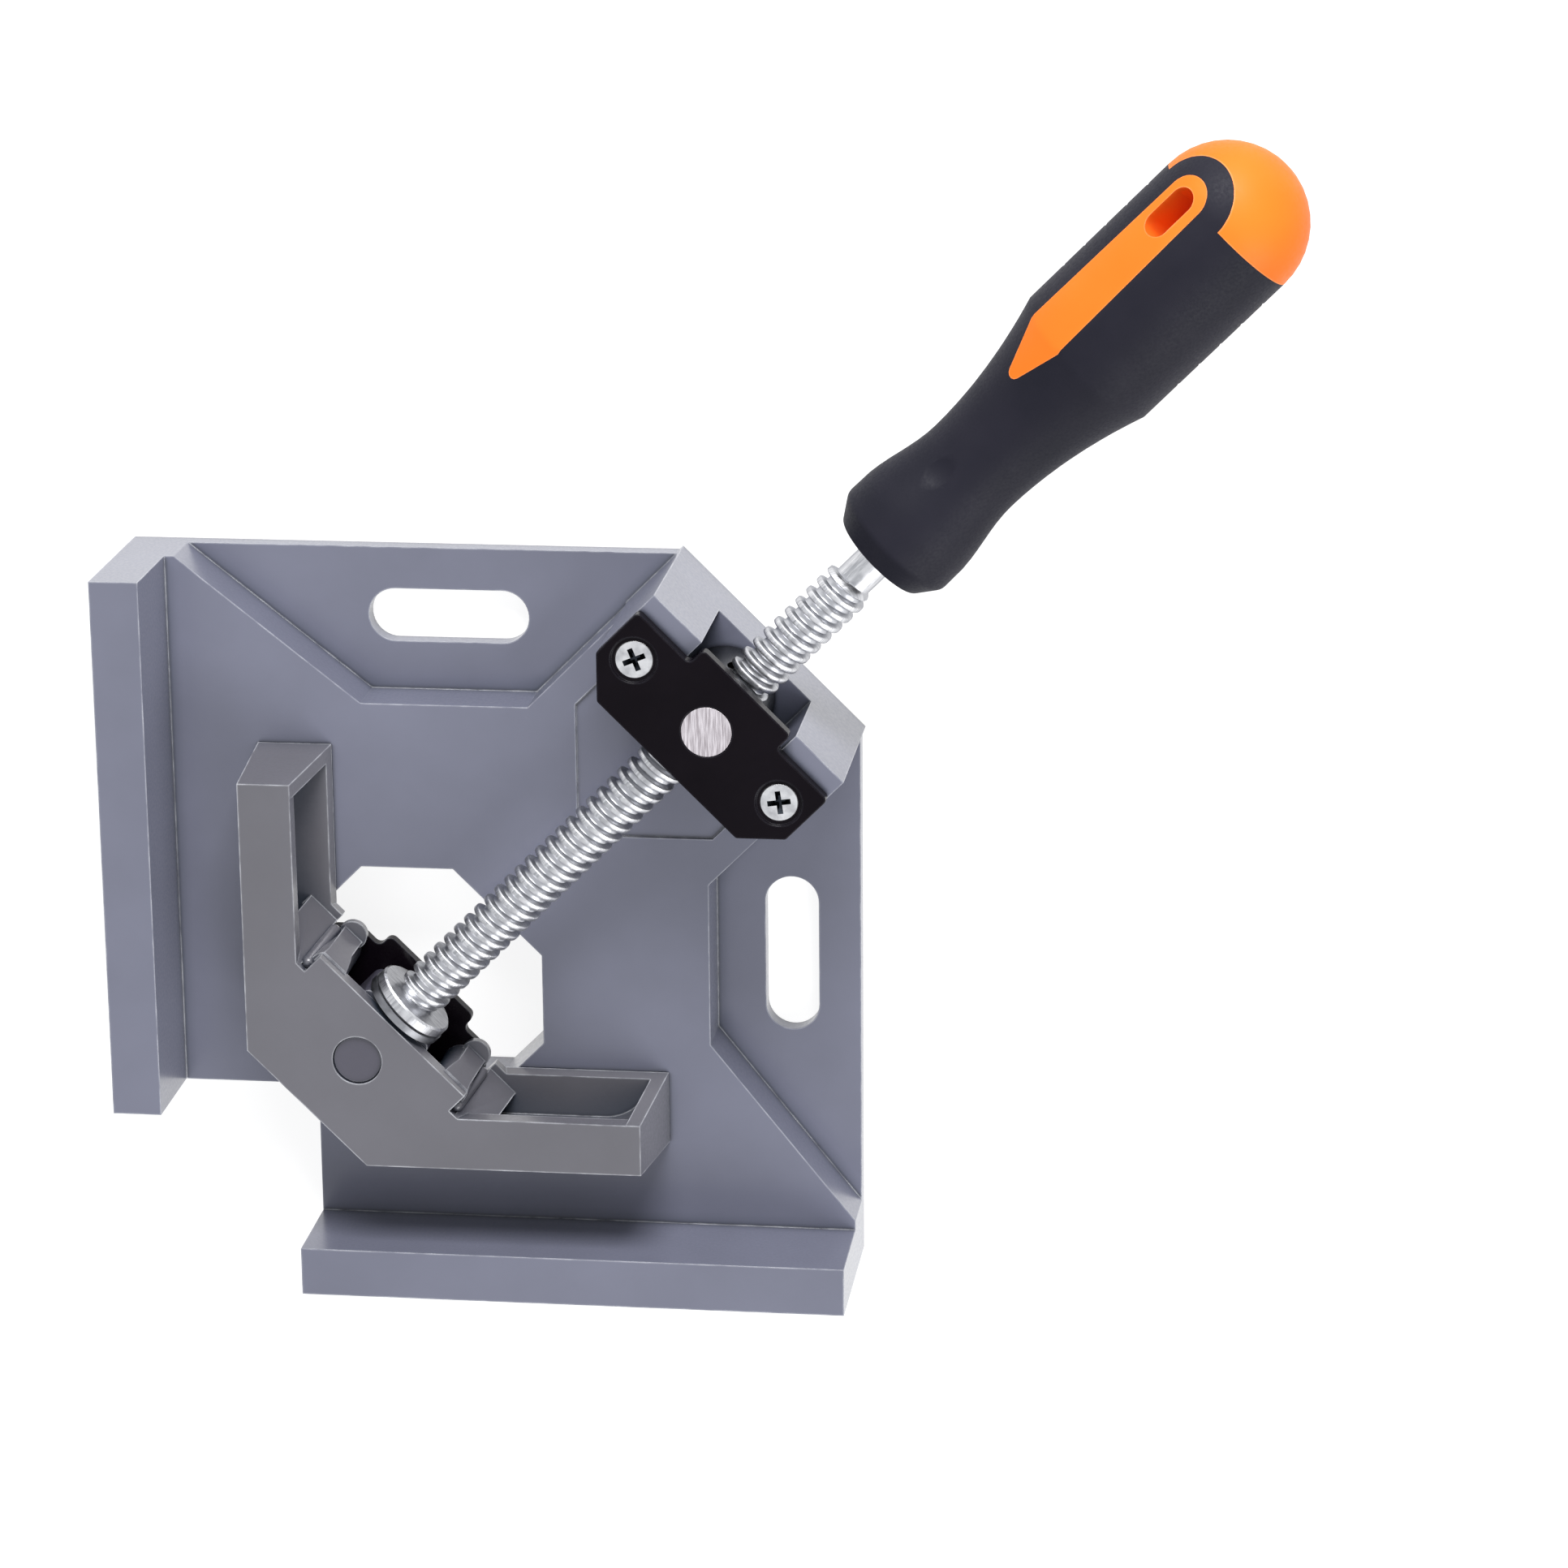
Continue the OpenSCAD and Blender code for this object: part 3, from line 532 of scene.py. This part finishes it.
def casting_paint(name, dark, light, pocket):
    """Satin paint on a die casting, between two greys, with painted shade in pockets of the given width.

    Edges are rubbed bright, and inner corners have a narrow dark line of painted shade.
    """
    look = Paint(name)
    look.set(Specular_IOR_Level=0.5, Coat_Weight=0.8, Coat_Roughness=0.22)
    grey = look.mottle(38, 4, dark, light)
    # Painted shade: pockets of the given width turn a dark bluish grey.
    unshaded_pocket = look.map_range(look.crevice(pocket), 0.15, 0.75)
    grey = look.mix(unshaded_pocket, srgb(48, 58, 72), grey)
    # Painted shade: a narrow dark line in inner corners.
    unshaded_corner = look.map_range(look.crevice(1.2 * MM), 0.5, 0.9)
    grey = look.mix(unshaded_corner, srgb(52, 54, 64), grey)
    worn = look.times(look.edge_mask(0.6 * MM), look.spread(look.noise(260, 4), 0.1, 1.0))
    look.colour(look.mix(worn, grey, srgb(214, 216, 222)))
    grain = look.noise(1500, 2)
    look.roughness(grain, 0.28, 0.42)
    look.bump(grain, 0.12, 0.05 * MM)
    return look.material


def cover_black():
    """Gloss black coating with faint orange peel, and a painted highlight along the edges."""
    look = Paint("cover_black")
    look.set(Specular_IOR_Level=0.1)
    coat = look.mottle(60, 3, srgb(9, 5, 10), srgb(15, 10, 16))
    # Painted highlight: a pale bluish grey along the rounded edges.
    edge_highlight = look.times(look.edge_mask(0.5 * MM), look.spread(look.noise(300, 3), 0.2, 0.9))
    look.colour(look.mix(edge_highlight, coat, srgb(88, 88, 98)))
    peel = look.noise(520, 2)
    look.roughness(peel, 0.2, 0.32)
    look.bump(peel, 0.08, 0.05 * MM)
    return look.material


def zinc_steel(name, dark, light):
    """Zinc plate between two greys, with blotches and painted shade in the recesses."""
    look = Paint(name)
    look.set(Metallic=1.0, Specular_Tint=STEEL_TINT)
    blotch = look.noise(420, 4)
    plate = look.ramp(blotch, ((0.25, dark), (0.6, light)))
    # Painted shade: the cross recess of a screw head turns a dark grey.
    look.colour(look.mix(look.recess(), plate, srgb(52, 56, 62)))
    look.roughness(look.noise(900, 3), 0.3, 0.44)
    look.bump(blotch, 0.06, 0.05 * MM)
    return look.material


def thread_steel():
    """Zinc plate with lathe lines, and an even grey in the root of the thread as mild painted shade."""
    look = Paint("thread_steel")
    look.set(Metallic=1.0, Specular_Tint=STEEL_TINT)
    lines = look.noise(1.0, 4, look.stretched((300, 300, 5200), SCREW_TURN))
    plate = look.ramp(lines, ((0.3, srgb(176, 177, 181)), (0.65, srgb(232, 232, 234))))
    # Mild painted shade: the lower flanks and root of the thread turn an even grey, without lines.
    root = look.map_range(look.recess(), 0.35, 1.0)
    look.colour(look.mix(root, plate, srgb(196, 197, 201)))
    look.roughness(look.noise(900, 3), 0.28, 0.42)
    look.bump(lines, 0.12, 0.03 * MM)
    return look.material


def bright_steel(pin_top):
    """Bare steel: brushed bright on the end of the pin, with painted shade below it."""
    look = Paint("bright_steel")
    look.set(Metallic=1.0)
    lines = look.noise(1.0, 5, look.stretched((5200, 240, 240), (0, 0, math.radians(8))))
    brushed = look.ramp(lines, ((0.32, srgb(172, 162, 166)), (0.62, srgb(240, 233, 237))))
    # Painted shade: the nut below its pin end turns a dark grey.
    pin_end_unshaded = look.map_range(look.height(), pin_top - 0.9 * MM, pin_top - 0.6 * MM)
    look.colour(look.mix(pin_end_unshaded, srgb(74, 76, 80), brushed))
    look.roughness(lines, 0.3, 0.46)
    look.bump(lines, 0.2, 0.03 * MM)
    return look.material


def spring_steel():
    """Oiled black spring steel."""
    look = Paint("spring_steel")
    look.set(Metallic=1.0)
    look.colour(look.mottle(300, 3, srgb(48, 48, 50), srgb(74, 74, 76)))
    look.roughness(look.noise(600), 0.3, 0.5)
    return look.material


def handle_orange():
    """Semi-gloss moulded plastic with a painted highlight along its rims."""
    look = Paint("handle_orange")
    look.set(Specular_IOR_Level=0.2)
    body = look.mottle(45, 2, srgb(249, 119, 30), srgb(254, 129, 40))
    # Painted highlight: a pale orange along the rims.
    rim_highlight = look.times(look.edge_mask(0.5 * MM), look.spread(look.noise(300, 2), 0.3, 0.7))
    look.colour(look.mix(rim_highlight, body, srgb(255, 178, 122)))
    fine = look.noise(1300, 2)
    look.roughness(fine, 0.42, 0.54)
    look.bump(fine, 0.05, 0.04 * MM)
    return look.material


def handle_black():
    """Soft satin rubber with a fine spark-eroded grain."""
    look = Paint("handle_black")
    look.set(Specular_IOR_Level=0.16)
    look.colour(look.mottle(70, 3, srgb(26, 26, 36), srgb(34, 33, 43)))
    grain = look.noise(1900, 3)
    look.roughness(grain, 0.5, 0.66)
    look.bump(grain, 0.22, 0.06 * MM)
    return look.material


def dress(obj, material):
    """One material all over an object."""
    obj.data.materials.clear()
    obj.data.materials.append(material)


# Light, floor and camera

FLOOR_SIZE = 12
FLOOR_DROP = 0.2 * MM
FLOOR_GREY = 0.34
FLOOR_GLOW = 0.86
WORLD_TINT = (0.95, 0.97, 1.0, 1)
WORLD_LIGHT = 0.42
WORLD_SEEN = 0.8
AIM = Vector((-0.02, -0.02, 0.02))
# Name, place and size in metres, and power in watts
LIGHTS = (
    ("key", (0.1, 1.1, 0.62), (0.7, 0.6), 20),
    ("fill", (0.8, -0.85, 0.8), (1.0, 1.0), 14),
)
CAMERA_AT = Vector((133.44, 271.04, 980.33)) * MM
CAMERA_TURN = (math.radians(-16.634), math.radians(7.063), math.radians(-0.432))
CAMERA_LENS = 115.66
CAMERA_SENSOR = 36
CAMERA_NEAR = 0.01
CAMERA_FAR = 50


def seen_ray(tree):
    """1 for rays that show the background: camera, glossy and transmission rays."""
    rays = tree.nodes.new("ShaderNodeLightPath")
    total = rays.outputs["Is Camera Ray"]
    for name in ("Is Glossy Ray", "Is Transmission Ray"):
        either = tree.nodes.new("ShaderNodeMath")
        either.operation = "MAXIMUM"
        tree.links.new(total, either.inputs[0])
        tree.links.new(rays.outputs[name], either.inputs[1])
        total = either.outputs["Value"]
    return total


def make_floor():
    """A white floor that keeps the shadow and glows a little where it is seen."""
    bpy.ops.mesh.primitive_plane_add(size=FLOOR_SIZE, location=(0, 0, -FLOOR_DROP))
    floor = bpy.context.object
    floor.name = "floor"
    material = bpy.data.materials.new("floor_white")
    material.use_nodes = True
    tree = material.node_tree
    shader = tree.nodes["Principled BSDF"]
    shader.inputs["Base Color"].default_value = (FLOOR_GREY, FLOOR_GREY, FLOOR_GREY, 1)
    shader.inputs["Roughness"].default_value = 0.9
    shader.inputs["Specular IOR Level"].default_value = 0
    shader.inputs["Emission Color"].default_value = (1, 1, 1, 1)
    glow = tree.nodes.new("ShaderNodeMath")
    glow.operation = "MULTIPLY"
    glow.inputs[1].default_value = FLOOR_GLOW
    tree.links.new(seen_ray(tree), glow.inputs[0])
    tree.links.new(glow.outputs["Value"], shader.inputs["Emission Strength"])
    floor.data.materials.append(material)


def make_world():
    """Even pale light all round, and a pale backdrop where it is seen."""
    world = bpy.data.worlds.new("studio")
    bpy.context.scene.world = world
    world.use_nodes = True
    tree = world.node_tree
    back = tree.nodes["Background"]
    back.inputs["Color"].default_value = WORLD_TINT
    level = tree.nodes.new("ShaderNodeMapRange")
    level.inputs["To Min"].default_value = WORLD_LIGHT
    level.inputs["To Max"].default_value = WORLD_SEEN
    tree.links.new(seen_ray(tree), level.inputs["Value"])
    tree.links.new(level.outputs["Result"], back.inputs["Strength"])


def area_light(name, place, size, power):
    """A soft box that points at the clamp."""
    data = bpy.data.lights.new(name, "AREA")
    data.shape = "RECTANGLE"
    data.size, data.size_y = size
    data.energy = power
    light = bpy.data.objects.new(name, data)
    light.location = place
    light.rotation_euler = (AIM - Vector(place)).to_track_quat("-Z", "Y").to_euler()
    bpy.context.scene.collection.objects.link(light)


def make_camera():
    """The photograph's viewpoint."""
    data = bpy.data.cameras.new("camera")
    data.lens = CAMERA_LENS
    data.sensor_fit = "HORIZONTAL"
    data.sensor_width = CAMERA_SENSOR
    data.clip_start = CAMERA_NEAR
    data.clip_end = CAMERA_FAR
    camera = bpy.data.objects.new("camera", data)
    camera.location = CAMERA_AT
    camera.rotation_euler = Euler(CAMERA_TURN, "XYZ")
    bpy.context.scene.collection.objects.link(camera)
    bpy.context.scene.camera = camera


# Pieces made here

SIDES = ("left", "right")

lead_screw = make_lead_screw()
heads = [make_cross_head("nut_cover_screw_" + side, "base", True) for side in SIDES]
heads += [make_cross_head("jaw_cover_screw_" + side, "jaw", False) for side in SIDES]
webs = [make_jaw_web("jaw_web_" + side, "jaw_cover_screw_" + side) for side in SIDES]


# Soft edges of the CAD pieces

# Width and number of steps of the rounding
ROUNDED = {
    "base_casting": (0.6 * MM, 3),
    "jaw_casting": (0.4 * MM, 3),
    "jaw_swivel_block": (0.5 * MM, 3),
    "nut_cover_plate": (0.7 * MM, 4),
    "jaw_cover_plate": (0.4 * MM, 3),
    "swivel_nut": (0.3 * MM, 3),
}
ONLY_SMOOTH = ("handle_core", "handle_grip", "thrust_washer", "retaining_ring")

round_shading = smooth_nodes(SHADE_ANGLE)
for name, (width, segments) in ROUNDED.items():
    soften(name, round_shading, width, segments)
for name in ONLY_SMOOTH:
    smooth(name, round_shading)


# Finish of every piece

black = cover_black()
zinc = zinc_steel("zinc_steel", srgb(188, 188, 191), srgb(232, 232, 233))
# Painted light: the jaw shares the base's paint; its darker grey is painted shade and its more neutral
# tint a painted warm reflection.
jaw_shaded_grey = casting_paint("jaw_shaded_grey", srgb(94, 93, 99), srgb(101, 100, 107), 14 * MM)
FINISHES = {
    # The base's blue tint is partly its own tone and partly a painted blue reflection.
    "base_casting": casting_paint("base_grey", srgb(106, 108, 124), srgb(114, 116, 133), 6 * MM),
    "jaw_casting": jaw_shaded_grey,
    # Painted shade: the swivel block's grey is a darker copy of the same casting paint.
    "jaw_swivel_block": casting_paint("block_shaded_grey", srgb(68, 66, 77), srgb(75, 73, 85), 3 * MM),
    "nut_cover_plate": black,
    "jaw_cover_plate": black,
    "swivel_nut": bright_steel(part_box("swivel_nut")[1].z),
    "thrust_washer": zinc_steel("washer_steel", srgb(120, 121, 126), srgb(160, 161, 165)),
    "retaining_ring": spring_steel(),
    "handle_core": handle_orange(),
    "handle_grip": handle_black(),
}
for name, material in FINISHES.items():
    dress(nodes[name], material)
dress(lead_screw, thread_steel())
for head in heads:
    dress(head, zinc)
for web in webs:
    dress(web, jaw_shaded_grey)


# Stage

make_floor()
make_world()
for name, place, size, power in LIGHTS:
    area_light(name, place, size, power)
make_camera()

scene = bpy.context.scene
scene.view_settings.view_transform = "Standard"
